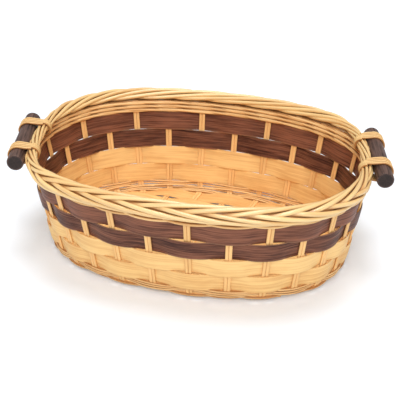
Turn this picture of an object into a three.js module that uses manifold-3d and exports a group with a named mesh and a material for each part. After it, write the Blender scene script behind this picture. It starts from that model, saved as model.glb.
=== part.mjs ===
// Oval wicker basket with a plaited border and a wooden dowel handle at each end.
// Millimetres, +Z up, +X along the long axis. The origin is on the floor, in the middle of the oval.
import * as THREE from 'three';
import Module from 'manifold-3d';

const wasm = await Module();
wasm.setup();

// Wall: the middle surface of the woven wall, measured at the floor, and its outward lean
const wallHalfLength = 176.34;
const wallHalfWidth = 122.49;
const leanLength = 0.177;
const leanWidth = 0.201;
const wallSquareness = 0.021;
const footBend = 9;
const baseLevel = 3.4;

// Space left between neighbouring pieces that touch on a real basket
const fit = 0.3;

// Stakes: two flat canes side by side, worked as one
const stakeCount = 30;
const stakeWidth = 6.5;
const stakeThickness = 1.8;
const stakeGroove = 0.3;
const stakeStart = THREE.MathUtils.degToRad(5.2);
const stakeSpread = THREE.MathUtils.degToRad(2.65);
const stakeSpreadTurn = THREE.MathUtils.degToRad(12.6);
const stakeDrift = THREE.MathUtils.degToRad(1.1);
const crossStakeCount = 9;
const firstCrossStake = 3;
const endFootLength = 16;
const endFootShortest = 2.5;
const endFootLimit = 150;

// Round rods twisted in pairs: two rows at the foot and one under the border
const rodSides = 5;
const rodEase = 0.1;
const stakeGrip = 0.13;
const footRodRadius = 1.8;
const footRodSwing = stakeThickness / 2 + footRodRadius + fit;
const footRodLift = footRodRadius + fit / 2 + rodEase;
const footRowLower = 3.5;
const footRowGap = 0.5;
const footRowUpper = footRowLower + 2 * (footRodLift + footRodRadius) + footRowGap;
const footRowTop = footRowUpper + footRodLift + footRodRadius;
const rimRodRadius = 1.4;
const rimRodSwing = stakeThickness / 2 + rimRodRadius + fit;
const rimRodLift = rimRodRadius + fit / 2 + rodEase;

// Flat strips woven round the wall, the lowest on the foot rods
const rowCount = 4;
const rowHeight = 22.635;
const endLean = Math.atan(leanLength);
const endTurn = Math.PI / 2 - endLean;
const straightStart = baseLevel + footBend * (1 - Math.cos(endTurn));
const firstRowBottom = straightStart + (footRowTop - footBend * endTurn) * Math.cos(endLean) + fit;
const weaverThickness = 0.8;
const weaverEase = 0.15;
const weaverSwing = (stakeThickness + weaverThickness) / 2 + fit + weaverEase;
const wallTop = firstRowBottom + rowCount * rowHeight;
const rimWaleHeight = wallTop + fit + rimRodLift + rimRodRadius;

// Border: a plait of flat legs wrapped round into a roll, which stands on the rods under it
const legCount = 7;
const plaitRepeats = 3;
const plaitSteps = 18;
const plaitSwing = 12.2;
const plaitDepth = 4.2;
const plaitRoll = 5.15;
const plaitSeam = THREE.MathUtils.degToRad(45);
const plaitStart = -0.03;
const legWidth = 5.4;
const legTaper = 0.25;
const legThickness = 1.9;
const borderRadius = plaitRoll + plaitDepth + legThickness / 2;
const borderClearance = 0.82;
const borderHeight = rimWaleHeight + rimRodLift + rimRodRadius + borderClearance + borderRadius;
const borderInLength = 0.56;
const borderOutWidth = 3.96;
const borderSquareness = 0.03;
const borderHalfLength = wallHalfLength + leanLength * borderHeight - borderInLength;
const borderHalfWidth = wallHalfWidth + leanWidth * borderHeight + borderOutWidth;
const plaitUnderside = plaitRoll + legThickness / 2;

// Tops of the stakes: just into the plait, and lower at the ends, where the bindings pass over them
const stakeReach = 2.4;
const crossStakeTop = borderHeight - plaitUnderside + stakeReach;
const endStakeTop = borderHeight - borderRadius - fit;

// Handles: a straight dowel tied against the border near each end of the oval
const dowelRadius = 9.5;
const dowelLength = 121;
const dowelChamfer = 0.8;
const dowelSides = 24;
const dowelFacing = THREE.MathUtils.degToRad(15);
const dowelSlide = -9.4;
const borderPull = 9;
const borderLift = 1;
const dowelHeight = borderHeight + borderLift;
const borderSqueeze = 0.4;
const borderPullReach = THREE.MathUtils.degToRad(36);
const bindingZone = THREE.MathUtils.degToRad(22);
const bindingZoneReach = THREE.MathUtils.degToRad(37);

// Cane bindings that tie each dowel to the border
const caneRadius = 1.3;
const caneSides = 5;
const caneSteps = 15;
const caneTurns = 4;
const caneGap = 0.5;
const canePitch = 2 * caneRadius + caneGap;
const caneFit = 0.6;
const slantRoom = 0.4;
const bindingInset = 26.5;
const bindingOffset = dowelLength / 2 - bindingInset;

// Base: flat strips along X woven through the cross stakes
const baseStripCount = 10;
const baseStripGap = 1.6;
const baseStripThickness = 0.8;
const baseStripSwing = (stakeThickness + baseStripThickness) / 2 + fit;
const baseStripMargin = 7.8;
const baseSideRoom = 5.49;
const baseEdgeLength = wallHalfLength - baseStripMargin;
const baseEdgeWidth = wallHalfWidth - baseStripMargin;
const baseStripPitch = (2 * (baseEdgeWidth - baseSideRoom) + baseStripGap) / baseStripCount;
const baseStripWidth = baseStripPitch - baseStripGap;
const baseStripNarrowest = 5;
const stripHoldEase = 1;
const stripHold = stakeWidth / 2 + stripHoldEase;
const stripFall = 7;

// Colours and how rough the surfaces are
const honey = 0xd9a35c;
const paleCane = 0xe3bd80;
const darkStrip = 0x4a2c22;
const darkWood = 0x33231f;
const caneRoughness = 0.6;
const stripRoughness = 0.5;
const rodRoughness = 0.55;
const woodRoughness = 0.45;

const fullTurn = 2 * Math.PI;
const up = new THREE.Vector3(0, 0, 1);
const basket = new THREE.Group();
basket.name = 'wicker_gift_basket';

// Small angle or length over which a direction is measured, and how near a search comes to its answer
const nudge = 1e-3;
const nearEnough = 1e-4;

// Angle in the first quarter turn at which a test stops being true
function quarterAngle(test) {
  let low = 0;
  let high = fullTurn / 4;
  while (high - low > nearEnough) {
    const middle = (low + high) / 2;
    if (test(middle)) {
      low = middle;
    } else {
      high = middle;
    }
  }
  return (low + high) / 2;
}

// Unit oval, a little squarer than an ellipse
function ovalShape(angle, squareness = wallSquareness) {
  const x = (Math.cos(angle) - squareness * Math.cos(3 * angle)) / (1 - squareness);
  const y = (Math.sin(angle) + squareness * Math.sin(3 * angle)) / (1 - squareness);
  return { x, y };
}

// Angle of stake number u; whole numbers are stakes, fractions lie between them
function stakeAngle(u) {
  const plain = (fullTurn * u) / stakeCount;
  const spread = stakeSpread * Math.cos(2 * plain + stakeSpreadTurn);
  return plain + stakeStart + spread + stakeDrift * Math.sin(plain);
}

// Profile of wall and foot at one angle: p is the distance along it, 0 where the foot starts to bend
function profileAt(angle, p) {
  const shape = ovalShape(angle);
  const outward = new THREE.Vector3(leanLength * shape.x, leanWidth * shape.y, 0);
  const lean = Math.atan(outward.length());
  outward.normalize();
  const corner = new THREE.Vector3(
    (wallHalfLength + leanLength * baseLevel) * shape.x,
    (wallHalfWidth + leanWidth * baseLevel) * shape.y,
    baseLevel,
  );
  const bendAngle = Math.PI / 2 - lean;
  const bendLength = footBend * bendAngle;
  const start = corner.clone().addScaledVector(outward, -footBend * Math.tan(bendAngle / 2));
  if (p <= 0) {
    return start.addScaledVector(outward, p);
  }
  const turned = Math.min(p, bendLength) / footBend;
  start.addScaledVector(outward, footBend * Math.sin(turned));
  start.addScaledVector(up, footBend * (1 - Math.cos(turned)));
  if (p > bendLength) {
    start.addScaledVector(outward, (p - bendLength) * Math.sin(lean));
    start.addScaledVector(up, (p - bendLength) * Math.cos(lean));
  }
  return start;
}

// Distance along the profile at which the wall reaches a height
function profileDistance(angle, height) {
  const shape = ovalShape(angle);
  const lean = Math.atan(Math.hypot(leanLength * shape.x, leanWidth * shape.y));
  const bendAngle = Math.PI / 2 - lean;
  const bendTop = baseLevel + footBend * (1 - Math.cos(bendAngle));
  return footBend * bendAngle + (height - bendTop) / Math.cos(lean);
}

// Point, outward normal, direction round the oval and direction up the profile
function frameAt(angle, p) {
  const point = profileAt(angle, p);
  const round = profileAt(angle + nudge, p).sub(profileAt(angle - nudge, p)).normalize();
  const along = profileAt(angle, p + nudge).sub(profileAt(angle, p - nudge)).normalize();
  const normal = new THREE.Vector3().crossVectors(round, along).normalize();
  const rise = new THREE.Vector3().crossVectors(normal, round);
  return { point, normal, round, rise };
}

// Closed body from a row of outlines with equal numbers of points
function skin(outlines, isRing, capCorner = 0) {
  const count = outlines[0].length;
  const positions = outlines.flat().flatMap((v) => [v.x, v.y, v.z]);
  const index = [];
  const spans = isRing ? outlines.length : outlines.length - 1;
  for (let i = 0; i < spans; i += 1) {
    const here = i * count;
    const next = ((i + 1) % outlines.length) * count;
    for (let j = 0; j < count; j += 1) {
      const k = (j + 1) % count;
      index.push(here + j, here + k, next + k, here + j, next + k, next + j);
    }
  }
  if (!isRing) {
    const last = (outlines.length - 1) * count;
    for (let j = 1; j < count - 1; j += 1) {
      const b = (capCorner + j) % count;
      const c = (capCorner + j + 1) % count;
      index.push(capCorner, c, b, last + capCorner, last + b, last + c);
    }
  }
  const geometry = new THREE.BufferGeometry();
  geometry.setAttribute('position', new THREE.Float32BufferAttribute(positions, 3));
  geometry.setIndex(index);
  return faceOutward(geometry);
}

// Turns all faces round if the enclosed volume comes out negative
function faceOutward(geometry) {
  const p = geometry.attributes.position;
  const index = geometry.index.array;
  const a = new THREE.Vector3();
  const b = new THREE.Vector3();
  const c = new THREE.Vector3();
  let volume = 0;
  for (let i = 0; i < index.length; i += 3) {
    a.fromBufferAttribute(p, index[i]);
    b.fromBufferAttribute(p, index[i + 1]);
    c.fromBufferAttribute(p, index[i + 2]);
    volume += a.dot(b.cross(c));
  }
  if (volume < 0) {
    for (let i = 0; i < index.length; i += 3) {
      [index[i + 1], index[i + 2]] = [index[i + 2], index[i + 1]];
    }
  }
  return geometry;
}

function addPiece(name, geometry, color, roughness) {
  geometry.computeVertexNormals();
  const material = new THREE.MeshStandardMaterial({ color, roughness, metalness: 0 });
  material.name = name;
  const mesh = new THREE.Mesh(geometry, material);
  mesh.name = name;
  basket.add(mesh);
}

// Outline of a flat section: across runs over its width, out runs through its thickness
function flatOutline(point, across, out, width, thickness) {
  const corners = [[-1, -1], [1, -1], [1, 1], [-1, 1]];
  return corners.map(([x, y]) => point.clone()
    .addScaledVector(across, (x * width) / 2)
    .addScaledVector(out, (y * thickness) / 2));
}

// Outline of a pair of canes: flat, with a shallow valley down the middle of both faces
function stakeOutline(point, across, out) {
  const half = stakeThickness / 2;
  const valley = half - stakeGroove;
  const corners = [[-1, -half], [0, -valley], [1, -half], [1, half], [0, valley], [-1, half]];
  return corners.map(([x, y]) => point.clone()
    .addScaledVector(across, (x * stakeWidth) / 2)
    .addScaledVector(out, y));
}

function roundOutline(point, first, second, radius, sides) {
  const outline = [];
  for (let i = 0; i < sides; i += 1) {
    const a = (fullTurn * i) / sides;
    outline.push(point.clone()
      .addScaledVector(first, radius * Math.cos(a))
      .addScaledVector(second, radius * Math.sin(a)));
  }
  return outline;
}

// Stakes
const footSteps = 4;
const turnSteps = 2;
const turnReach = 8;

// Outlines of one stake from the floor bend to its top
function uprightOutlines(u, stakeTop) {
  const angle = stakeAngle(u);
  const bendEnd = profileDistance(angle, baseLevel + footBend);
  const outlines = [];
  for (let i = 0; i <= footSteps; i += 1) {
    const frame = frameAt(angle, (bendEnd * i) / footSteps);
    outlines.push(stakeOutline(frame.point, frame.round, frame.normal));
  }
  const top = frameAt(angle, profileDistance(angle, stakeTop));
  outlines.push(stakeOutline(top.point, top.round, top.normal));
  return outlines;
}

// Line of a cross stake over the base, from the bend at one side to the bend at the other
function baseLine(u) {
  const here = profileAt(stakeAngle(u), -turnReach / 2);
  const there = profileAt(stakeAngle(2 * stakeCount - 1 - u), -turnReach / 2);
  return { here, there, direction: there.clone().sub(here).normalize() };
}

// Outlines where a cross stake turns from its own foot into the line over the base
function turnOutlines(u) {
  const start = profileAt(stakeAngle(u), 0);
  const line = baseLine(u);
  const end = line.here.clone().addScaledVector(line.direction, turnReach / 2);
  const curve = new THREE.QuadraticBezierCurve3(start, line.here, end);
  const outlines = [];
  for (let i = turnSteps; i >= 1; i -= 1) {
    const tangent = curve.getTangent(i / turnSteps);
    const across = new THREE.Vector3().crossVectors(tangent, up).normalize();
    outlines.push(stakeOutline(curve.getPoint(i / turnSteps), across, up.clone().negate()));
  }
  return outlines;
}

function halfStake(u) {
  return [...turnOutlines(u), ...uprightOutlines(u, crossStakeTop)];
}

for (let i = 0; i < crossStakeCount; i += 1) {
  const u = firstCrossStake + i;
  const opposite = stakeCount - 1 - u;
  const outlines = [...halfStake(u).reverse(), ...halfStake(opposite)
    .map((outline) => [outline[2], outline[1], outline[0], outline[5], outline[4], outline[3]])];
  addPiece(`cross_stake_${i + 1}`, skin(outlines, false, 1), honey, caneRoughness);
}

// Stakes at the two ends of the oval, with a short foot under the inside
function endStake(name, u) {
  const angle = stakeAngle(u);
  const outlines = uprightOutlines(u, endStakeTop);
  const start = profileAt(angle, 0);
  const inward = profileAt(angle, -1).sub(start);
  const room = (endFootLimit - Math.abs(start.x)) / (Math.sign(start.x) * inward.x);
  const reach = THREE.MathUtils.clamp(room, endFootShortest, endFootLength);
  const tip = frameAt(angle, -reach);
  outlines.unshift(stakeOutline(tip.point, tip.round, tip.normal));
  addPiece(name, skin(outlines, false, 1), honey, caneRoughness);
}

const endStakeCount = (stakeCount - 2 * crossStakeCount) / 2;
for (let i = 0; i < endStakeCount; i += 1) {
  const right = i - firstCrossStake;
  endStake(`end_stake_right_${i + 1}`, right);
  endStake(`end_stake_left_${i + 1}`, right + stakeCount / 2);
}

// Wall strips: each passes outside one stake and inside the next, and the next row does the opposite
for (let row = 0; row < rowCount; row += 1) {
  const middle = firstRowBottom + (row + 0.5) * rowHeight;
  const side = row % 2 === 0 ? -1 : 1;
  const outlines = [];
  for (let i = 0; i < 2 * stakeCount; i += 1) {
    const stake = Math.floor(i / 2);
    const u = stake + (i % 2 === 0 ? -stakeGrip : stakeGrip);
    const angle = stakeAngle(u);
    const frame = frameAt(angle, profileDistance(angle, middle));
    const swing = side * (stake % 2 === 0 ? weaverSwing : -weaverSwing);
    frame.point.addScaledVector(frame.normal, swing);
    const slope = Math.hypot(1, frame.rise.x / frame.rise.z, frame.rise.y / frame.rise.z);
    const width = (rowHeight - fit) * slope;
    outlines.push(flatOutline(frame.point, frame.rise, frame.normal, width, weaverThickness));
  }
  const color = row < rowCount / 2 ? honey : darkStrip;
  addPiece(`wall_strip_${row + 1}`, skin(outlines, true), color, stripRoughness);
}

// One rod of a twisted pair: outside one stake, inside the next, crossing its partner halfway between
function waleOutlines(distance, partner, radius, swing, lift) {
  const outlines = [];
  const places = [-stakeGrip, stakeGrip, 0.5];
  for (let stake = 0; stake < stakeCount; stake += 1) {
    for (const place of places) {
      const u = stake + place;
      const angle = stakeAngle(u);
      const frame = frameAt(angle, distance(angle));
      const twist = Math.PI * (u + partner);
      const out = place === 0.5 ? 0 : Math.sign(Math.cos(twist)) * swing;
      frame.point.addScaledVector(frame.normal, out);
      frame.point.addScaledVector(frame.rise, lift * Math.sin(twist));
      outlines.push(roundOutline(frame.point, frame.normal, frame.rise, radius, rodSides));
    }
  }
  return outlines;
}

function footRod(distance, partner) {
  return skin(waleOutlines(() => distance, partner, footRodRadius, footRodSwing, footRodLift), true);
}

function rimRod(partner) {
  const distance = (angle) => profileDistance(angle, rimWaleHeight);
  return skin(waleOutlines(distance, partner, rimRodRadius, rimRodSwing, rimRodLift), true);
}

// Cuts away what would lie below the floor, so that the basket stands on flats
function cutAtFloor(geometry) {
  const solid = new wasm.Manifold(new wasm.Mesh({
    numProp: 3,
    vertProperties: new Float32Array(geometry.attributes.position.array),
    triVerts: new Uint32Array(geometry.index.array),
  }));
  const trimmed = solid.trimByPlane([0, 0, 1], 0).getMesh();
  const result = new THREE.BufferGeometry();
  result.setAttribute('position', new THREE.Float32BufferAttribute(trimmed.vertProperties, 3));
  result.setIndex(Array.from(trimmed.triVerts));
  return result;
}

for (const partner of [0, 1]) {
  const lower = cutAtFloor(footRod(footRowLower, partner));
  addPiece(`foot_rod_lower_${partner + 1}`, lower, paleCane, rodRoughness);
  addPiece(`foot_rod_upper_${partner + 1}`, footRod(footRowUpper, partner), paleCane, rodRoughness);
  addPiece(`rim_rod_${partner + 1}`, rimRod(partner), paleCane, rodRoughness);
}

// Border line, drawn in and lifted a little where the dowels are tied
const dowelNormal = new THREE.Vector3(Math.cos(dowelFacing), Math.sin(dowelFacing), 0);
const dowelAxis = new THREE.Vector3().crossVectors(up, dowelNormal);

function plainBorder(angle) {
  const shape = ovalShape(angle, borderSquareness);
  return new THREE.Vector3(borderHalfLength * shape.x, borderHalfWidth * shape.y, borderHeight);
}

// Angle at which the border faces the same way as the dowel
const handleAngle = quarterAngle((angle) => {
  const step = plainBorder(angle + nudge).sub(plainBorder(angle - nudge));
  return step.dot(dowelNormal) > 0;
});

// 1 up to one angle from the middle of a handle, falling smoothly to 0 at another
function handleNearness(angle, flat, reach) {
  const twice = 2 * (angle - handleAngle);
  const away = Math.abs(Math.atan2(Math.sin(twice), Math.cos(twice))) / 2;
  return 1 - THREE.MathUtils.smoothstep(away, flat, reach);
}

function borderLine(angle) {
  const point = plainBorder(angle);
  const round = plainBorder(angle + nudge).sub(plainBorder(angle - nudge)).normalize();
  const outward = new THREE.Vector3().crossVectors(round, up);
  const pull = borderPull * handleNearness(angle, 0, borderPullReach);
  const lift = borderLift * handleNearness(angle, bindingZone, bindingZoneReach);
  return point.addScaledVector(outward, -pull).addScaledVector(up, lift);
}

// Border line sampled at even distances, so that the plait keeps an even pitch
const borderSamples = 720;
const borderTable = [];
let borderLength = 0;
for (let i = 0; i <= borderSamples; i += 1) {
  const angle = (fullTurn * i) / borderSamples;
  const point = borderLine(angle);
  if (i > 0) {
    borderLength += point.distanceTo(borderTable[i - 1].point);
  }
  borderTable.push({ angle, point, distance: borderLength });
}

function borderAngle(fraction) {
  const wanted = (fraction - Math.floor(fraction)) * borderLength;
  const after = Math.max(1, borderTable.findIndex((entry) => entry.distance >= wanted));
  const a = borderTable[after - 1];
  const b = borderTable[after];
  const share = (wanted - a.distance) / (b.distance - a.distance);
  return THREE.MathUtils.lerp(a.angle, b.angle, share);
}

// Plait legs: each swings across the roll and dives under the others
const legOutline = [
  [-0.5, 0],
  [-legTaper, 0.5],
  [legTaper, 0.5],
  [0.5, 0],
  [legTaper, -0.5],
  [-legTaper, -0.5],
];
for (let leg = 0; leg < legCount; leg += 1) {
  const outlines = [];
  const steps = plaitRepeats * plaitSteps;
  for (let i = 0; i < steps; i += 1) {
    const fraction = i / steps;
    const angle = borderAngle(fraction);
    const round = borderLine(angle + nudge).sub(borderLine(angle - nudge)).normalize();
    const outward = new THREE.Vector3().crossVectors(round, up).normalize();
    const upward = new THREE.Vector3().crossVectors(outward, round);
    const phase = fullTurn * (plaitRepeats * fraction + plaitStart + leg / legCount);
    const across = plaitSwing * Math.sin(phase);
    const depth = plaitDepth * Math.sin(2 * phase);
    const squeeze = 1 - borderSqueeze * handleNearness(angle, bindingZone, bindingZoneReach);
    outlines.push(legOutline.map(([x, y]) => {
      const around = plaitSeam + (across + x * legWidth) / plaitRoll;
      const radius = squeeze * (plaitRoll + depth + y * legThickness);
      return borderLine(angle)
        .addScaledVector(outward, radius * Math.cos(around))
        .addScaledVector(upward, radius * Math.sin(around));
    }));
  }
  addPiece(`border_plait_leg_${leg + 1}`, skin(outlines, true), paleCane, rodRoughness);
}

// Dowels
const tiedRadius = borderRadius * (1 - borderSqueeze);
const dowelMiddle = borderLine(handleAngle)
  .addScaledVector(dowelNormal, tiedRadius + fit + dowelRadius)
  .addScaledVector(dowelAxis, dowelSlide);
dowelMiddle.z = dowelHeight;

const dowelProfile = [
  [0, -dowelLength / 2],
  [dowelRadius - dowelChamfer, -dowelLength / 2],
  [dowelRadius, dowelChamfer - dowelLength / 2],
  [dowelRadius, dowelLength / 2 - dowelChamfer],
  [dowelRadius - dowelChamfer, dowelLength / 2],
  [0, dowelLength / 2],
].map(([x, y]) => new THREE.Vector2(x, y));

const handleSides = [['right', 1], ['left', -1]];
for (const [side, sign] of handleSides) {
  const geometry = new THREE.LatheGeometry(dowelProfile, dowelSides);
  geometry.rotateZ(dowelFacing);
  geometry.translate(sign * dowelMiddle.x, sign * dowelMiddle.y, dowelMiddle.z);
  addPiece(`handle_dowel_${side}`, geometry, darkWood, woodRoughness);
}

// Border point in the plane square to the dowel at a distance along it
function borderBeside(distance) {
  let best = null;
  for (const entry of borderTable) {
    const along = entry.point.clone().sub(dowelMiddle);
    const miss = Math.abs(along.dot(dowelAxis) - distance);
    if (along.dot(dowelNormal) > -dowelLength / 2 && (best === null || miss < best.miss)) {
      best = { miss, point: entry.point };
    }
  }
  return best.point;
}

// Loop round two circles side by side, as points at even spacing: x outward from the dowel, y up
function loopPoints(otherX, otherY, dowelLoop, otherLoop) {
  const span = Math.hypot(otherX, otherY);
  const tilt = Math.atan2(otherY, otherX);
  const splay = Math.acos((dowelLoop - otherLoop) / span);
  const corners = [];
  const arcPoints = 48;
  for (let i = 0; i <= arcPoints; i += 1) {
    const a = tilt - splay + (2 * splay * i) / arcPoints;
    corners.push([otherX + otherLoop * Math.cos(a), otherY + otherLoop * Math.sin(a)]);
  }
  for (let i = 0; i <= arcPoints; i += 1) {
    const a = tilt + splay + ((fullTurn - 2 * splay) * i) / arcPoints;
    corners.push([dowelLoop * Math.cos(a), dowelLoop * Math.sin(a)]);
  }
  corners.push(corners[0]);
  return new THREE.CatmullRomCurve3(corners.map(([x, y]) => new THREE.Vector3(x, y, 0)), false, 'centripetal');
}

// One binding: an unbroken length of cane wound round dowel and border
function bindingPath(offset) {
  const beside = borderBeside(offset).clone().sub(dowelMiddle);
  const dowelLoop = dowelRadius + caneFit + caneRadius;
  const borderLoop = tiedRadius + slantRoom + caneFit + caneRadius;
  const loop = loopPoints(beside.dot(dowelNormal), beside.z, dowelLoop, borderLoop);
  const total = caneTurns * caneSteps;
  const path = [];
  for (let i = 0; i <= total; i += 1) {
    const point = loop.getPointAt((i / caneSteps) % 1);
    const shift = offset + canePitch * (i / caneSteps - caneTurns / 2);
    path.push(dowelMiddle.clone()
      .addScaledVector(dowelNormal, point.x)
      .addScaledVector(up, point.y)
      .addScaledVector(dowelAxis, shift));
  }
  const head = path[0].clone().sub(path[1]).setLength(2 * caneRadius).add(path[0]);
  const tail = path[total].clone().sub(path[total - 1]).setLength(2 * caneRadius).add(path[total]);
  return [head, ...path, tail];
}

// Least distance between parts of a path that lie more than half a turn apart, less the cane's width
function leastGap(path) {
  let least = Infinity;
  for (let i = 0; i < path.length - 1; i += 1) {
    for (let j = i + Math.ceil(caneSteps / 2); j < path.length - 1; j += 1) {
      for (let s = 0; s < 1; s += 0.25) {
        const a = path[i].clone().lerp(path[i + 1], s);
        const line = new THREE.Line3(path[j], path[j + 1]);
        const close = line.closestPointToPoint(a, true, new THREE.Vector3());
        least = Math.min(least, a.distanceTo(close) - 2 * caneRadius);
      }
    }
  }
  return least;
}

function tubeOutlines(path) {
  return path.map((point, i) => {
    const before = path[Math.max(0, i - 1)];
    const after = path[Math.min(path.length - 1, i + 1)];
    const tangent = after.clone().sub(before).normalize();
    const first = dowelAxis.clone().addScaledVector(tangent, -dowelAxis.dot(tangent)).normalize();
    const second = new THREE.Vector3().crossVectors(tangent, first);
    return roundOutline(point, first, second, caneRadius, caneSides);
  });
}

const bindingPlaces = [['front', -bindingOffset], ['back', bindingOffset]];
for (const [side, sign] of handleSides) {
  for (const [place, offset] of bindingPlaces) {
    const path = bindingPath(sign * offset);
    const turned = path.map((point) => new THREE.Vector3(sign * point.x, sign * point.y, point.z));
    const name = `handle_binding_${side}_${place}`;
    console.log(`${name}: least gap between turns ${leastGap(turned).toFixed(2)} mm`);
    const outlines = tubeOutlines(path)
      .map((outline) => outline.map((v) => new THREE.Vector3(sign * v.x, sign * v.y, v.z)));
    addPiece(name, skin(outlines, false), paleCane, caneRoughness);
  }
}

// Base strips
const lastCross = firstCrossStake + crossStakeCount - 1;

// Where the strip at height y crosses cross stake u
function crossingX(u, y) {
  const line = baseLine(u);
  const share = (y - line.here.y) / (line.there.y - line.here.y);
  return THREE.MathUtils.lerp(line.here.x, line.there.x, share);
}

// Edge of the base, inside the foot rods: half its length at a distance y from the long axis

function baseHalfLength(y) {
  const edge = quarterAngle((angle) => baseEdgeWidth * ovalShape(angle).y < Math.abs(y));
  return baseEdgeLength * ovalShape(edge).x;
}

// And half its width at a distance x from the short axis
function baseHalfWidth(x) {
  const edge = quarterAngle((angle) => baseEdgeLength * ovalShape(angle).x > Math.abs(x));
  return baseEdgeWidth * ovalShape(edge).y;
}

for (let i = 0; i < baseStripCount; i += 1) {
  const y = (i - (baseStripCount - 1) / 2) * baseStripPitch;
  const sign = Math.sign(y);
  const inner = Math.abs(y) - baseStripWidth / 2;
  const outer = Math.abs(y) + baseStripWidth / 2;
  const end = baseHalfLength(inner + baseStripNarrowest);
  const stations = [];
  for (let u = lastCross; u >= firstCrossStake; u -= 1) {
    const x = crossingX(u, y);
    const level = (u + i) % 2 === 0 ? baseStripSwing : -baseStripSwing;
    if (Math.abs(x) + stripHold < end) {
      stations.push([x - stripHold, level], [x + stripHold, level]);
    }
  }
  const first = stations[0];
  const last = stations[stations.length - 1];
  const fallStart = first[0] - stripFall;
  const fallEnd = last[0] + stripFall;
  if (-end < fallStart) {
    stations.unshift([fallStart, -baseStripSwing]);
  }
  if (end > fallEnd) {
    stations.push([fallEnd, -baseStripSwing]);
  }
  const corner = baseHalfLength(outer);
  for (const x of [-end, -corner, corner, end]) {
    const after = stations.findIndex((station) => station[0] > x);
    if (after === 0) {
      stations.unshift([x, stations[0][1]]);
    } else if (after === -1) {
      stations.push([x, stations[stations.length - 1][1]]);
    } else {
      const [x0, z0] = stations[after - 1];
      const [x1, z1] = stations[after];
      stations.splice(after, 0, [x, THREE.MathUtils.mapLinear(x, x0, x1, z0, z1)]);
    }
  }
  const outlines = stations.map(([x, level]) => {
    const edge = Math.min(outer, baseHalfWidth(x));
    const middle = new THREE.Vector3(x, (sign * (inner + edge)) / 2, baseLevel + level);
    const across = new THREE.Vector3(0, 1, 0);
    return flatOutline(middle, across, up, edge - inner, baseStripThickness);
  });
  addPiece(`base_strip_${i + 1}`, skin(outlines, false), honey, stripRoughness);
}

export default basket;
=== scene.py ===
import math

import bpy
import numpy as np
from mathutils import Matrix, Vector


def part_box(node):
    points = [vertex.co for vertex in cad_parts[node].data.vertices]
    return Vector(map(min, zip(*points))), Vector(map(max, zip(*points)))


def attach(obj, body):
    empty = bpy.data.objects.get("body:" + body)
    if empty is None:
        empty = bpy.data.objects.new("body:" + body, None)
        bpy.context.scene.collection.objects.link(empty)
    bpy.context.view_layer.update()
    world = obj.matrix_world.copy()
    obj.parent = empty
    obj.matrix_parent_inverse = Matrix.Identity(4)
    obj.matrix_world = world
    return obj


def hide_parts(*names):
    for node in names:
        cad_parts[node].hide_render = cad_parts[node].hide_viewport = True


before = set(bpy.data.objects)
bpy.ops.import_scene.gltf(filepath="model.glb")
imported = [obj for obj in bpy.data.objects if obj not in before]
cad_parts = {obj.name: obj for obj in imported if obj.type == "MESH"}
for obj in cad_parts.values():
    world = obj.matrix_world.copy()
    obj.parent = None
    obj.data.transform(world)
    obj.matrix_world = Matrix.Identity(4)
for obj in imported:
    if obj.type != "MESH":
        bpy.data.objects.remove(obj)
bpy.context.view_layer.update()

bl_info = {
    "name": "Wicker gift basket",
    "version": (1, 0, 0),
    "blender": (4, 5, 0),
    "location": "3D View > Sidebar > Basket",
    "description": "Dresses an oval woven basket with plaited border and wooden handles",
    "category": "Object",
}

MM = 0.001
TURN = 2 * math.pi
UP = np.array([0.0, 0.0, 1.0])
NUDGE = 1e-5
WHITE = (1, 1, 1, 1)

STAKES = 30
CROSS_STAKES = 9
FIRST_CROSS = 3
WALL_ROWS = 4
BASE_STRIPS = 10
RIM_ROWS = 3
RODS_IN_ROW = 3
BORDER_LEGS = 7
BORDER_RODS = 15
BORDER_REPEATS = 2
BINDING_TURNS = 4
ROUND_SIDES = 12
DOWEL_SIDES = 64


def length(label, words, millimetres):
    """A length property, given in millimetres and kept in metres."""
    kind = dict(unit="LENGTH", subtype="DISTANCE", precision=5)
    return bpy.props.FloatProperty(name=label, description=words, default=millimetres * MM, **kind)


def colour(label, words, rgb):
    """A colour property, in scene-linear values."""
    return bpy.props.FloatVectorProperty(
        name=label, description=words, default=rgb, size=3, subtype="COLOR", min=0, max=1
    )


def number(label, words, value):
    """A plain number property."""
    return bpy.props.FloatProperty(name=label, description=words, default=value)


def angle(label, words, degrees):
    """An angle property, given in degrees and kept in radians."""
    return bpy.props.FloatProperty(
        name=label, description=words, default=math.radians(degrees), subtype="ANGLE"
    )


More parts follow.
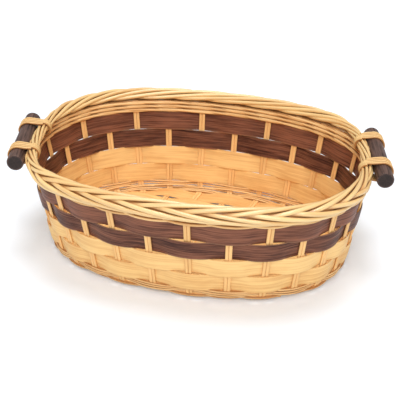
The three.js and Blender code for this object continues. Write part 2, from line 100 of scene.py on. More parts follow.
class BasketSizes(bpy.types.PropertyGroup):
    """Sizes of the basket's pieces"""

    wall_half_length: length("Wall half length", "Middle of the wall at the floor, along X", 176.34)
    wall_half_width: length("Wall half width", "Middle of the wall at the floor, along Y", 122.49)
    lean_length: number("Lean along X", "How far the ends lean out for each unit of height", 0.177)
    lean_width: number("Lean along Y", "How far the sides lean out for each unit of height", 0.201)
    squareness: number("Squareness", "How much squarer the oval is than an ellipse", 0.021)
    foot_bend: length("Foot bend", "Radius at which the stakes turn into the base", 9)
    base_level: length("Base level", "Height of the middle of the base", 3.4)
    stake_width: length("Stake width", "Two canes side by side", 7.6)
    stake_top: length("Stake top", "Depth of the stakes' tops under the border's middle", 4)
    stake_foot: length("Stake foot", "How far in from the bend a cross stake runs straight", 4)
    cane_thickness: length("Cane thickness", "Thickness of one flat cane", 1.8)
    cane_gap: length("Cane gap", "Space between the two canes of a stake", 0.3)
    strip_height: length("Strip height", "Height of one row of the wall", 22.635)
    strip_thickness: length("Strip thickness", "Thickness of a wall strip", 0.8)
    strip_bottom: length("First row", "Height of the lowest row's lower edge", 14.08)
    natural_swing: length("Natural swing", "How far a natural strip goes out and in", 2.0)
    dark_swing: length("Dark swing", "How far a dark strip goes out and in", 2.2)
    strip_cover: number("Strip cover", "Width of a wall strip, as a share of its row", 1.05)
    foot_rod_radius: length("Foot rod radius", "Radius of the round rods at the foot", 1.42)
    foot_rod_set: length("Foot rod set", "How far the lower rods lie out, and the upper ones in", 0.5)
    foot_rod_nest: length("Foot rod nest", "How much closer the upper rods lie to the lower ones", 0.8)
    foot_rod_swing: length("Foot rod swing", "How far the upper foot rods go out and in", 1.6)
    foot_rod_dip: length("Foot rod dip", "How far the lower foot rods go out and in", 1.4)
    foot_rod_lift: length("Foot rod lift", "How far the foot rods rise and fall", 0.4)
    foot_rod_first: length("First foot rod", "Place of the lowest rod round the foot bend", 1.5)
    foot_rod_step: length("Foot rod step", "Distance from one foot rod to the next", 2.95)
    rim_rod_radius: length("Rim rod radius", "Radius of the rods under the border", 1.95)
    rim_rod_swing: length("Rim rod swing", "How far the rim rods go out and in", 2.5)
    rim_rod_lift: length("Rim rod lift", "How far the rim rods rise and fall", 0.7)
    rim_rod_rise: length("Rim rod rise", "How far the top rim row rises at the handles", 2.6)
    rim_row_first: length("First rim row", "Height of the lowest row under the border", 107.0)
    rim_row_step: length("Rim row step", "Height between those rows", 4.7)
    border_half_length: length("Border half length", "Middle of the border, along X", 197.4)
    border_half_width: length("Border half width", "Middle of the border, along Y", 151)
    border_height: length("Border height", "Height of the middle of the border", 122.8)
    border_squareness: number("Border squareness", "How much squarer it is than an ellipse", 0.036)
    border_roll: length("Border roll", "Radius at which the rods run", 5.1)
    border_depth: length("Border depth", "How far a rod dives and rises", 2.6)
    border_swing: angle("Border swing", "How far a rod swings round the roll", 145)
    border_seam: angle("Border seam", "Direction in which the rods cross, up from outwards", 36)
    border_rod: length("Border rod radius", "Radius of one rod of the border", 2.4)
    border_pull: length("Border pull", "How far the border is drawn in at the handles", 7.5)
    border_squeeze: number("Border squeeze", "Share by which it gets thinner at the handles", 0.3)
    border_lift: length("Border lift", "How far the border rises at the handles", 1)
    dowel_radius: length("Dowel radius", "Radius of the wooden dowels", 9.5)
    dowel_length: length("Dowel length", "Length of the wooden dowels", 121)
    dowel_edge: length("Dowel edge", "Radius of the rounded edge at a dowel's end", 1.2)
    dowel_facing: angle("Dowel facing", "Direction in which the right dowel faces", 15)
    binding_width: length("Binding cane width", "Width of the binding cane", 4.0)
    binding_thickness: length("Binding cane thickness", "Thickness of the binding cane", 2.3)
    binding_pitch: length("Binding pitch", "Distance from one turn to the next", 4.2)
    binding_gather: number("Binding gather", "Share of the pitch kept at the border", 0.6)
    binding_offset: length("Binding offset", "Distance from the dowel's middle", 34)
    binding_reach: length("Binding reach", "Radius of a binding round the border", 8.4)
    base_strip_width: length("Base strip width", "Width of the strips in the base", 23.5)
    base_strip_pitch: length("Base strip pitch", "Distance between their middles", 22.55)
    base_outer_extra: length("Outer base strip extra", "How much wider the outermost strips are", 6.5)
    base_strip_swing: length("Base strip swing", "How far the strips rise and fall", 1.15)
    base_margin: length("Base margin", "Distance from the wall's middle to the strips' ends", 1.5)


class BasketColours(bpy.types.PropertyGroup):
    """Colours of the basket's materials"""

    honey: colour("Honey strip", "Natural strips of the wall", (1.0, 0.65, 0.265))
    honey_deep: colour("Honey grain", "Grain of the natural strips", (0.70, 0.31, 0.085))
    stake: colour("Stake cane", "Flat canes of the stakes", (1.0, 0.61, 0.25))
    stake_deep: colour("Stake grain", "Grain of the flat canes", (0.66, 0.33, 0.10))
    rod: colour("Border rod", "Peeled round rods of the border", (0.96, 0.66, 0.29))
    # Painted shade, laid on the sides of round rods, border rods and binding turns where they meet their
    # neighbours
    gap: colour("Gap between rods", "Deep between two rods", (0.42, 0.16, 0.04))
    rod_deep: colour("Border rod grain", "Darker lengths of the border rods", (0.74, 0.37, 0.11))
    round: colour("Round rod", "Round rods at the foot and under the border", (1.0, 0.65, 0.29))
    round_deep: colour("Round rod grain", "Darker lengths of those rods", (0.64, 0.29, 0.08))
    dark: colour("Dark strip", "Dyed strips of the wall", (0.30, 0.114, 0.063))
    dark_deep: colour("Dark grain", "Grain of the dyed strips", (0.045, 0.014, 0.010))
    bare: colour("Bare edge", "Bare wood at the edges of the dyed strips", (0.50, 0.27, 0.14))
    wood: colour("Dowel wood", "Stained dowels", (0.16, 0.09, 0.07))
    wood_deep: colour("Dowel grain", "Grain of the dowels", (0.018, 0.009, 0.007))
    wood_end: colour("Dowel end", "Flat ends of the dowels", (0.024, 0.014, 0.011))
    floor: colour("Floor", "Floor and backdrop", (0.88, 0.925, 0.98))


def sizes():
    """The sizes in use."""
    return bpy.context.scene.basket_sizes


def unit(v):
    """Vectors scaled to length 1."""
    return v / np.linalg.norm(v, axis=-1, keepdims=True)


def walked(points):
    """Distance walked along a line of points, starting at 0."""
    steps = np.linalg.norm(np.diff(points, axis=0), axis=-1)
    return np.concatenate([[0], np.cumsum(steps)])


def smooth(share):
    """Smooth step: three squares less two cubes of a share held between 0 and 1."""
    held = np.clip(share, 0, 1)
    return held * held * (3 - 2 * held)


def oval(angles, e):
    """Unit oval: cosine and sine, with a share e of the third harmonic that squares the corners."""
    x = (np.cos(angles) - e * np.cos(3 * angles)) / (1 - e)
    y = (np.sin(angles) + e * np.sin(3 * angles)) / (1 - e)
    return x, y


STAKE_START = math.radians(5.2)
STAKE_SPREAD = math.radians(2.65)
STAKE_SPREAD_TURN = math.radians(12.6)
STAKE_DRIFT = math.radians(1.1)


def stake_angle(u):
    """Angle of stake number u: even steps, drawn together and apart a little by two slow waves."""
    plain = TURN * np.asarray(u, float) / STAKES
    spread = STAKE_SPREAD * np.cos(2 * plain + STAKE_SPREAD_TURN)
    return plain + STAKE_START + spread + STAKE_DRIFT * np.sin(plain)


def wall_point(angles, p):
    """Point at distance p along the profile: level base, arc of the foot bend, leaning wall."""
    s = sizes()
    x, y = oval(angles, s.squareness)
    out = np.stack([s.lean_length * x, s.lean_width * y, 0 * x], -1)
    slope = np.linalg.norm(out, axis=-1)
    out = out / slope[..., None]
    lean = np.arctan(slope)
    corner_x = (s.wall_half_length + s.lean_length * s.base_level) * x
    corner_y = (s.wall_half_width + s.lean_width * s.base_level) * y
    corner = np.stack([corner_x, corner_y, s.base_level + 0 * x], -1)
    bend = np.pi / 2 - lean
    turned = np.clip(p / s.foot_bend, 0, bend)
    past = np.maximum(p - s.foot_bend * bend, 0)
    before = np.minimum(p, 0) - s.foot_bend * np.tan(bend / 2)
    level = before + s.foot_bend * np.sin(turned) + past * np.sin(lean)
    rise = s.foot_bend * (1 - np.cos(turned)) + past * np.cos(lean)
    return corner + out * level[..., None] + UP * rise[..., None]


def wall_distance(angles, height):
    """Distance along the profile at which the leaning wall reaches a height."""
    s = sizes()
    x, y = oval(angles, s.squareness)
    lean = np.arctan(np.hypot(s.lean_length * x, s.lean_width * y))
    bend = np.pi / 2 - lean
    top = s.base_level + s.foot_bend * (1 - np.cos(bend))
    return s.foot_bend * bend + (height - top) / np.cos(lean)


def wall_frame(angles, p):
    """Point, outward normal and directions round the oval and up the wall, by small differences."""
    p = p + 0 * angles
    point = wall_point(angles, p)
    around = unit(wall_point(angles + NUDGE, p) - wall_point(angles - NUDGE, p))
    along = unit(wall_point(angles, p + NUDGE) - wall_point(angles, p - NUDGE))
    normal = unit(np.cross(around, along))
    return point, normal, around, np.cross(normal, around)


DRIFT_WAVES = 5
DRIFT_FEWEST, DRIFT_MOST = 2, 14
LEAST_WEIGHT = 0.5


def drift(t, seed, size):
    """Slow irregularity: mean of sine waves of random number, phase and weight, closed over t = 0..1."""
    random = np.random.default_rng(seed)
    count = random.integers(DRIFT_FEWEST, DRIFT_MOST, DRIFT_WAVES)[:, None]
    phase = random.random((DRIFT_WAVES, 1))
    weight = random.random((DRIFT_WAVES, 1)) + LEAST_WEIGHT
    return size * np.mean(weight * np.sin(TURN * (count * t + phase)), axis=0)


def round_trip(steps):
    """Shares of the way round the basket and the angles there, with equal steps between stakes."""
    t = np.arange(STAKES * steps) / (STAKES * steps)
    return t, stake_angle(STAKES * t)


def everywhere(direction, path):
    """One direction, repeated for each point of a path."""
    return np.repeat(direction[None], len(path), 0)


def circle(angles):
    """Points of a circle of radius 1."""
    return np.stack([np.cos(angles), np.sin(angles)], -1)


def round_profile(radii, sides=ROUND_SIDES):
    """Circles as profile points, one for each radius."""
    return circle(TURN * np.arange(sides) / sides) * radii[:, None, None]


FLAT_POWER = 0.55


def flat_profile(width, thickness, sides, crown=0.0, power=FLAT_POWER):
    """Flat strip with rounded edges.

    Its points are cosine and sine raised to a power with their signs kept, and lifted by a crown that
    falls off with x squared.
    """
    a = TURN * (np.arange(sides) + 0.5) / sides
    x = np.sign(np.cos(a)) * np.abs(np.cos(a)) ** power * width / 2
    y = np.sign(np.sin(a)) * np.abs(np.sin(a)) ** power * thickness / 2
    return np.stack([x, y + crown * (1 - (2 * x / width) ** 2)], -1)


def strand(path, across, out, profile, closed, tone, edges=False):
    """One strand: profile points (x, y) carried along a path, at path + x across + y out.

    Along and around are distances on its surface, for the grain. Edge says where it takes its rim
    colour: with edges it grows with x, to 1 at the strand's sides, and otherwise the caller sets it.
    For rods, canes and binding that rim colour is painted shade between neighbours.
    """
    grid = path[:, None] + profile[..., 0:1] * across[:, None] + profile[..., 1:2] * out[:, None]
    shape = profile if profile.ndim == 2 else profile[len(profile) // 2]
    edge = np.abs(shape[:, 0]) / np.abs(shape[:, 0]).max() * edges
    return {
        "grid": grid,
        "closed": closed,
        "along": walked(np.concatenate([path, path[:1]]) if closed else path),
        "around": walked(np.concatenate([shape, shape[:1]])),
        "tone": (tone + 0 * path[:, 0])[:, None],
        "edge": edge[None],
    }


def tube_sides(path, closed, hint):
    """Two directions square to a path, the second as near to the hint as can be."""
    ends = np.roll(path, -1, 0) - np.roll(path, 1, 0) if closed else np.gradient(path, axis=0)
    tangent = unit(ends)
    out = unit(hint - tangent * np.sum(hint * tangent, -1, keepdims=True))
    return np.cross(tangent, out), out


def grid_mesh(item):
    """Faces of one strand with their surface distances, and its end outlines, facing outwards.

    The sign of the volume inside, a sum of triple products, tells which way they face.
    """
    grid = item["grid"]
    n, m = grid.shape[:2]
    spans = n if item["closed"] else n - 1
    i, j = np.arange(spans)[:, None], np.arange(m)[None, :]
    here, there, right = i * m, ((i + 1) % n) * m, (j + 1) % m
    face = np.stack([here + j, here + right, there + right, there + j], -1).reshape(-1, 4)
    u0, u1 = item["along"][:spans, None], item["along"][1 : spans + 1, None]
    v0, v1 = item["around"][None, :-1], item["around"][None, 1:]
    one = np.ones((spans, m))
    corners = [np.stack([u * one, v * one], -1) for u, v in ((u0, v0), (u0, v1), (u1, v1), (u1, v0))]
    lay = np.stack(corners, 2).reshape(-1, 4, 2)
    flat = grid.reshape(-1, 3)
    a, b, c, d = (flat[face[:, k]] - flat[0] for k in range(4))
    volume = np.sum(a * np.cross(b, c)) + np.sum(a * np.cross(c, d))
    first, last = np.arange(m), (n - 1) * m + np.arange(m)
    caps = [] if item["closed"] else [first[::-1], last]
    if volume < 0:
        face, lay, caps = face[:, ::-1], lay[:, ::-1], [cap[::-1] for cap in caps]
    ends = [grid[k // m % n, k % m, :2] + item["along"][k[0] // m] for k in caps]
    return flat, face, lay.reshape(-1, 2), caps, ends


def add_object(name, data):
    """A new object in the scene."""
    item = bpy.data.objects.new(name, data)
    bpy.context.scene.collection.objects.link(item)
    return item


def build(name, strands, slot, *nodes):
    """Joins strands into one piece: quads between outlines and a flat face on each open end."""
    points, quads, lays, caps, cap_lays = [], [], [], [], []
    start = 0
    for item in strands:
        flat, face, lay, ends, end_lays = grid_mesh(item)
        points.append(flat)
        quads.append(face + start)
        lays.append(lay)
        caps += [end + start for end in ends]
        cap_lays += end_lays
        start += len(flat)
    points, quads = np.concatenate(points), np.concatenate(quads)
    loops = np.concatenate([quads.ravel()] + caps)
    counts = np.concatenate([np.full(len(quads), 4), [len(cap) for cap in caps]]).astype(int)
    starts = np.concatenate([[0], np.cumsum(counts)[:-1]])
    mesh = bpy.data.meshes.new(name)
    mesh.vertices.add(len(points))
    mesh.vertices.foreach_set("co", points.astype(np.float32).ravel())
    mesh.loops.add(len(loops))
    mesh.loops.foreach_set("vertex_index", loops.astype(np.int32))
    mesh.polygons.add(len(counts))
    mesh.polygons.foreach_set("loop_start", starts.astype(np.int32))
    mesh.update(calc_edges=True)
    mesh.polygons.foreach_set("use_smooth", np.arange(len(counts)) < len(quads))
    lay = mesh.uv_layers.new(name="lay")
    lay.data.foreach_set("uv", np.concatenate(lays + cap_lays).astype(np.float32).ravel())
    for key in ("tone", "edge"):
        values = [np.broadcast_to(item[key], item["grid"].shape[:2]).ravel() for item in strands]
        attribute = mesh.attributes.new(key, "FLOAT", "POINT")
        attribute.data.foreach_set("value", np.concatenate(values).astype(np.float32))
    if mesh.validate():
        raise RuntimeError(f"{name}: the mesh had faults")
    mesh.materials.append(finish_material(slot))
    piece = add_object(name, mesh)
    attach(piece, "root")
    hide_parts(*nodes)


MIDDLE_TONE, TONE_SPREAD = 0.5, 0.45


def tone_of(strand_number, pace):
    """A tone that jumps from one strand to the next: a sine of its number times a pace."""
    return MIDDLE_TONE + TONE_SPREAD * math.sin(pace * strand_number)


CANE_CROWN = 0.15 * MM
CANE_SIDES = 12
CANE_TONE_PACE = 2.3
CANE_TONE_STEP = 1 / 3


def cane_stakes(u, path, across, out):
    """A pair of flat canes side by side along one path, as two strands."""
    s = sizes()
    aside = s.stake_width / 4
    width = s.stake_width / 2 - s.cane_gap / 2
    profile = flat_profile(width, s.cane_thickness, CANE_SIDES, CANE_CROWN)
    strands = []
    for side in (-1, 1):
        tone = tone_of(u + side * CANE_TONE_STEP, CANE_TONE_PACE)
        # Edges at each cane's sides carry painted shade, which also draws the dark line where the two
        # canes meet
        strands.append(strand(path + across * side * aside, across, out, profile, False, tone, True))
    return strands


BEND_STEPS, RISE_STEPS, TURN_STEPS, FOOT_STEPS = 9, 14, 8, 5
SHORTEST_FOOT = 1 * MM


def upright(u, top):
    """Path and directions of a stake from the foot bend to a height."""
    s = sizes()
    one = stake_angle(u)
    bend = wall_distance(one, s.base_level + s.foot_bend)
    low = np.linspace(0, bend, BEND_STEPS)[:-1]
    p = np.concatenate([low, np.linspace(bend, wall_distance(one, top), RISE_STEPS)])
    point, normal, around, _ = wall_frame(one + 0 * p, p)
    return point, around, normal


def base_line(u):
    """Ends and direction of the straight part of a cross stake in the base."""
    reach = np.array(-sizes().stake_foot)
    here = wall_point(stake_angle(u), reach)
    there = wall_point(stake_angle(2 * STAKES - 1 - u), reach)
    return here, there, unit(there - here)


def foot_turn(u):
    """Level curve from a cross stake's own foot into its line in the base.

    It is quadratic: start, corner and end, weighted by (1 - t) squared, 2t(1 - t) and t squared.
    """
    start = wall_point(stake_angle(u), np.array(0.0))
    here, _, direction = base_line(u)
    end = here + direction * sizes().stake_foot
    t = np.linspace(1, 0, TURN_STEPS)[:-1, None]
    path = start * (1 - t) ** 2 + here * 2 * t * (1 - t) + end * t**2
    tangent = unit(2 * (1 - t) * (here - start) + 2 * t * (end - here))
    return path, np.cross(tangent, UP), everywhere(-UP, path)


def half_stake(u, top):
    """One side of a cross stake: the turn into the base, then the part up the wall."""
    return [np.concatenate(pair) for pair in zip(foot_turn(u), upright(u, top))]


def end_stake(u, top, node):
    """An end stake: a short level foot, as long as the node's, then the part up the wall."""
    path, across, out = upright(u, top)
    low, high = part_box(node)
    start = path[0]
    inward = unit(wall_point(stake_angle(u), np.array(-SHORTEST_FOOT)) - start)
    foot = (abs(start[0]) - min(abs(low[0]), abs(high[0]))) / abs(inward[0])
    steps = np.linspace(max(foot, SHORTEST_FOOT), 0, FOOT_STEPS)[:-1, None]
    path = np.concatenate([start + inward * steps, path])
    across, out = (np.concatenate([everywhere(way[0], steps), way]) for way in (across, out))
    return path, across, out


class BASKET_OT_stakes(bpy.types.Operator):
    """Makes the stakes: pairs of flat canes up the wall, the long ones across the base too"""

    bl_idname = "basket.stakes"
    bl_label = "Stakes"

    def execute(self, context):
        s = sizes()
        top = s.border_height - s.stake_top
        for i in range(CROSS_STAKES):
            u = FIRST_CROSS + i
            a, b = half_stake(u, top), half_stake(STAKES - 1 - u, top)
            path, out = (np.concatenate([a[k][::-1], b[k]]) for k in (0, 2))
            across = np.concatenate([a[1][::-1], -b[1]])
            strands = cane_stakes(u, path, across, out)
            build(f"stake_canes_cross_{i + 1}", strands, "stake_cane", f"cross_stake_{i + 1}")
        for side, shift in (("right", 0), ("left", STAKES // 2)):
            for i in range(STAKES // 2 - CROSS_STAKES):
                u = i - FIRST_CROSS + shift
                node = f"end_stake_{side}_{i + 1}"
                strands = cane_stakes(u, *end_stake(u, top, node))
                build(f"stake_canes_{side}_{i + 1}", strands, "stake_cane", node)
        return {"FINISHED"}


STRIP_STEPS = 14
STRIP_SIDES = 22
STRIP_CROWN = 0.25 * MM
STRIP_DRIFT = 0.25 * MM
STRIP_SWING_DRIFT = 0.2 * MM
STRIP_TONE_PACE = 4
SWING_POWER = 0.8


def weave(u):
    """Plain weave: from 1 at even stakes to -1 at odd ones, a cosine held a little at its ends."""
    wave = np.cos(np.pi * u)
    return np.sign(wave) * np.abs(wave) ** SWING_POWER


def wall_strip(row, dark):
    """One flat strip round the wall, out by the weave times its swing, with a little drift."""
    s = sizes()
    t, angles = round_trip(STRIP_STEPS)
    swing = (s.dark_swing if dark else s.natural_swing) * (-1 if row % 2 == 0 else 1)
    height = s.strip_bottom + (row + 0.5) * s.strip_height + drift(t, row, STRIP_DRIFT)
    point, normal, _, rise = wall_frame(angles, wall_distance(angles, height))
    out = swing * weave(STAKES * t) + drift(t, row + WALL_ROWS, STRIP_SWING_DRIFT)
    width = s.strip_height * s.strip_cover
    profile = flat_profile(width, s.strip_thickness, STRIP_SIDES, STRIP_CROWN)
    path = point + normal * out[:, None]
    return strand(path, rise, normal, profile, True, tone_of(row, STRIP_TONE_PACE), True)


class BASKET_OT_wall_strips(bpy.types.Operator):
    """Makes the four flat strips woven round the wall"""

    bl_idname = "basket.wall_strips"
    bl_label = "Wall strips"

    def execute(self, context):
        for row in range(WALL_ROWS):
            dark = row >= WALL_ROWS // 2
            slot = "dark_strip" if dark else "natural_strip"
            build(f"woven_strip_{row + 1}", [wall_strip(row, dark)], slot, f"wall_strip_{row + 1}")
        return {"FINISHED"}


PULL_REACH = math.radians(36)
TIED_ZONE = math.radians(22)
TIED_REACH = math.radians(37)
SEARCH_STEPS = 20001


def border_touch():
    """Angle at which the border faces the same way as the right dowel, found in a fine table."""
    s = sizes()
    a = np.linspace(0, np.pi / 2, SEARCH_STEPS)
    x, y = oval(a, s.border_squareness)
    facing = (math.cos(s.dowel_facing), math.sin(s.dowel_facing))
    reach = s.border_half_length * x * facing[0] + s.border_half_width * y * facing[1]
    return a[np.argmax(reach)]


def nearness(angles, flat, reach):
    """1 up to the flat angle from the middle of a handle, falling smoothly to 0 at its reach."""
    double = 2 * (angles - border_touch())
    away = np.abs(np.arctan2(np.sin(double), np.cos(double))) / 2
    return 1 - smooth((away - flat) / (reach - flat))


ROD_STEPS = 16
ROD_DRIFT = 0.2 * MM
ROD_THICKNESS_DRIFT = 0.15
ROD_TONE_PACE = 4
FOOT_RODS = 6
FOOT_TWIST = 0.9
FOOT_SEED, RIM_SEED = 20, 60
FOOT_SEED_STEP = 4
SEED_BLOCK = 10
# Part of a stake's space in which a rim rod keeps out or in, and the part in which it crosses
RIM_HOLD, RIM_CROSS = 0.08, 0.84


def rod_piece(path, hint, radius, seed):
    """One round rod on a closed path, a little thicker and thinner on its way."""
    t = np.arange(len(path)) / len(path)
    profile = round_profile(radius * (1 + drift(t, seed, ROD_THICKNESS_DRIFT)))
    tone = tone_of(seed, ROD_TONE_PACE)
    # Edges at the rod's upper and lower sides, towards its neighbours, carry painted shade
    return strand(path, *tube_sides(path, True, hint), profile, True, tone, True)


def foot_rods():
    """Six rods round the foot, in two rows of three: each row goes out and in at the stakes as one.

    Out is the weave times the row's swing, with the lower row set out and the upper one in. Up is a
    cosine that changes sign from stake to stake, for the first rod of a row and the other way for the
    third. No rod lies below the floor.
    """
    s = sizes()
    t, angles = round_trip(ROD_STEPS)
    rods = []
    for rod in range(FOOT_RODS):
        seed = FOOT_SEED + rod
        upper, across = divmod(rod, FOOT_RODS // 2)
        place = s.foot_rod_first + rod * s.foot_rod_step - upper * s.foot_rod_nest
        point, normal, _, rise = wall_frame(angles, place + drift(t, seed, ROD_DRIFT))
        swing = s.foot_rod_swing if upper else -s.foot_rod_dip
        out = s.foot_rod_set * (1 - 2 * upper) + weave(STAKES * t) * swing
        out += drift(t, seed + FOOT_SEED_STEP, ROD_DRIFT)
        up = s.foot_rod_lift * np.cos(np.pi * STAKES * t + FOOT_TWIST) * (across - 1)
        path = point + normal * out[:, None] + rise * up[:, None]
        path[:, 2] = np.maximum(path[:, 2], s.foot_rod_radius)
        rods.append(rod_piece(path, normal, s.foot_rod_radius, seed + 2 * FOOT_SEED_STEP))
    return rods


def rim_row(height, extra, seed):
    """Three rods that circle the stakes together: over three stakes each goes out, in and back.

    The share of the way in is a smooth step of the distance to the stake that it passes outside. Up
    is a sine over the same three stakes, and near the handles the row is raised by the extra.
    """
    s = sizes()
    t, angles = round_trip(ROD_STEPS)
    point, normal, _, rise = wall_frame(angles, wall_distance(angles, height))
    rods = []
    for rod in range(RODS_IN_ROW):
        turn = (STAKES * t - rod) / RODS_IN_ROW
        away = RODS_IN_ROW * np.abs((turn + 0.5) % 1 - 0.5)
        out = s.rim_rod_swing * (1 - 2 * smooth((away - RIM_HOLD) / RIM_CROSS))
        out = out + drift(t, seed + rod, ROD_DRIFT)
        up = drift(t, seed + rod + RODS_IN_ROW, ROD_DRIFT) - s.rim_rod_lift * np.sin(TURN * turn)
        up = up + extra * nearness(angles, 0, PULL_REACH)
        path = point + normal * out[:, None] + rise * up[:, None]
        rods.append(rod_piece(path, normal, s.rim_rod_radius, seed + rod + 2 * RODS_IN_ROW))
    return rods


class BASKET_OT_twisted_rods(bpy.types.Operator):
    """Makes the round rods woven round the stakes at the foot and under the border"""

    bl_idname = "basket.twisted_rods"
    bl_label = "Twisted rods"

    def execute(self, context):
        s = sizes()
        foot, rim = foot_rods(), []
        for row in range(RIM_ROWS):
            extra = s.rim_rod_rise * row / (RIM_ROWS - 1)
            height = s.rim_row_first + row * s.rim_row_step
            rim += rim_row(height, extra, RIM_SEED + SEED_BLOCK * row)
        half = len(rim) // 2
        shares = {
            "foot_rod_lower_1": foot[0:1],
            "foot_rod_lower_2": foot[1:3],
            "foot_rod_upper_1": foot[3:5],
            "foot_rod_upper_2": foot[5:6],
            "rim_rod_1": rim[:half],
            "rim_rod_2": rim[half:],
        }
        for node, rods in shares.items():
            build(f"twisted_{node}", rods, "round_rod", node)
        return {"FINISHED"}


def border_line(angles):
    """Middle of the border: an oval, drawn in and lifted where the dowels are tied."""
    s = sizes()
    size = np.array([s.border_half_length, s.border_half_width])
    flat = np.stack(oval(angles, s.border_squareness), -1) * size
    ahead = np.stack(oval(angles + NUDGE, s.border_squareness), -1) * size
    along = unit(ahead - flat)
    outward = np.stack([along[..., 1], -along[..., 0]], -1)
    flat = flat - outward * s.border_pull * nearness(angles, 0, PULL_REACH)[..., None]
    height = s.border_height + s.border_lift * nearness(angles, TIED_ZONE, TIED_REACH)
    return np.concatenate([flat, height[..., None]], -1)


BORDER_STEPS = 30
BORDER_SEED, BORDER_SEED_STEP = 100, 3
BORDER_TONE_PACE = 7.7
SWING_EVENNESS = 0.85
DIVE_STEEPNESS = 4
TURN_DRIFT = 0.10
ROLL_DRIFT = 0.35 * MM
BORDER_THICKNESS_DRIFT = 0.12
SHADE_SPAN_OF_ROD = 0.55


def border_rod(rod, t, middle, outward, upward, squeeze):
    """One rod of the border, wrapping to and fro round a roll about the border's middle.

    The angle round the roll is the seam plus the swing times an evened sine of the phase. The distance
    from the middle is the roll plus the depth times the hyperbolic tangent of a steep sine of twice
    the phase. Edge grows towards the middle, where it paints shade deep between the rods.
    """
    s = sizes()
    seed = BORDER_SEED + SEED_BLOCK * rod
    phase = TURN * (BORDER_REPEATS * t + rod / BORDER_RODS)
    swing = np.arcsin(SWING_EVENNESS * np.sin(phase)) / math.asin(SWING_EVENNESS)
    turned = s.border_seam + s.border_swing * swing + drift(t, seed, TURN_DRIFT)
    dive = np.tanh(DIVE_STEEPNESS * np.sin(2 * phase))
    radius = s.border_roll + s.border_depth * dive + drift(t, seed + BORDER_SEED_STEP, ROLL_DRIFT)
    hint = outward * np.cos(turned)[:, None] + upward * np.sin(turned)[:, None]
    path = middle + hint * (squeeze * radius)[:, None]
    uneven = drift(t, seed + 2 * BORDER_SEED_STEP, BORDER_THICKNESS_DRIFT)
    profile = round_profile(squeeze * s.border_rod * (1 + uneven))
    tone = tone_of(seed, BORDER_TONE_PACE)
    item = strand(path, *tube_sides(path, True, hint), profile, True, tone)
    # Edge: painted shade that deepens towards the border's middle, between the rods
    away = np.linalg.norm(item["grid"] - middle[:, None], axis=-1) / squeeze[:, None]
    shade_span = s.border_depth + SHADE_SPAN_OF_ROD * s.border_rod
    item["edge"] = 1 - smooth((away - s.border_roll) / shade_span)
    return item


class BASKET_OT_border(bpy.types.Operator):
    """Makes the plaited border: round rods that wrap to and fro round a roll"""

    bl_idname = "basket.border"
    bl_label = "Plaited border"

    def execute(self, context):
        s = sizes()
        t, angles = round_trip(BORDER_STEPS)
        middle = border_line(angles)
        along = unit(np.roll(middle, -1, 0) - np.roll(middle, 1, 0))
        outward = unit(np.cross(along, UP))
        upward = np.cross(outward, along)
        squeeze = 1 - s.border_squeeze * nearness(angles, TIED_ZONE, TIED_REACH)
        legs = [[] for _ in range(BORDER_LEGS)]
        for rod in range(BORDER_RODS):
            leg = legs[rod * BORDER_LEGS // BORDER_RODS]
            leg.append(border_rod(rod, t, middle, outward, upward, squeeze))
        for i, rods in enumerate(legs):
            build(f"border_rods_{i + 1}", rods, "border_rod", f"border_plait_leg_{i + 1}")
        return {"FINISHED"}


CAP_RINGS, EDGE_RINGS, BODY_RINGS = 5, 6, 60
DOWEL_SEED = 300
DOWEL_DRIFT = 0.12 * MM
SIDE_TONE, CAP_TONE = 0.35, 1.0
# Shares of the radius at which a dowel's end starts to turn into its side, and over which it does
SIDE_START, SIDE_SPAN = 0.80, 0.12
SIDES = (("right", 1), ("left", -1))


def dowel_place():
    """Middle, outward direction and axis of the right dowel, taken from its solid."""
    low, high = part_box("handle_dowel_right")
    facing = sizes().dowel_facing
    normal = np.array([math.cos(facing), math.sin(facing), 0.0])
    return (np.array(low) + np.array(high)) / 2, normal, np.cross(UP, normal)


def dowel_outline():
    """Places along a dowel and the radius there: flat ends, quarter rounds, a straight side."""
    s = sizes()
    bend = np.linspace(0, np.pi / 2, EDGE_RINGS)
    flat = s.dowel_radius - s.dowel_edge
    cap = np.linspace(flat / CAP_RINGS, flat, CAP_RINGS)[:-1]
    end_place = np.concatenate([0 * cap, s.dowel_edge * (1 - np.cos(bend))]) - s.dowel_length / 2
    end_radius = np.concatenate([cap, flat + s.dowel_edge * np.sin(bend)])
    body = np.linspace(end_place[-1], -end_place[-1], BODY_RINGS)[1:-1]
    place = np.concatenate([end_place, body, -end_place[::-1]])
    return place, np.concatenate([end_radius, s.dowel_radius + 0 * body, end_radius[::-1]])


def half_turned(points, sign):
    """Points of the left handle from those of the right one: a half turn about the vertical axis."""
    return points * np.array([sign, sign, 1])


class BASKET_OT_handles(bpy.types.Operator):
    """Makes the two dark wooden dowels"""

    bl_idname = "basket.handles"
    bl_label = "Dowels"

    def execute(self, context):
        s = sizes()
        middle, normal, axis = dowel_place()
        place, radius = dowel_outline()
        t = (place + s.dowel_length / 2) / s.dowel_length
        on_side = smooth((radius / s.dowel_radius - SIDE_START) / SIDE_SPAN)
        tone = CAP_TONE + (SIDE_TONE - CAP_TONE) * on_side
        for side, sign in SIDES:
            path = half_turned(middle + axis * place[:, None], sign)
            rough = radius + on_side * drift(t, DOWEL_SEED + sign, DOWEL_DRIFT)
            profile = round_profile(rough, DOWEL_SIDES)
            item = strand(path, everywhere(normal, path), everywhere(UP, path), profile, False, tone)
            item["along"] = walked(np.stack([place, radius], -1))
            item["edge"] = (1 - on_side)[:, None]
            build(f"dowel_{side}", [item], "dark_dowel", f"handle_dowel_{side}")
        return {"FINISHED"}


LINE_STEPS = 4001
LOOP_ARC = 80
LOOP_STEPS = 96
DOWEL_ROOM = 0.2 * MM
BINDING_POWER = 0.9
TURN_TONE_SPREAD, TURN_TONE_PACE = 0.35, 2.4


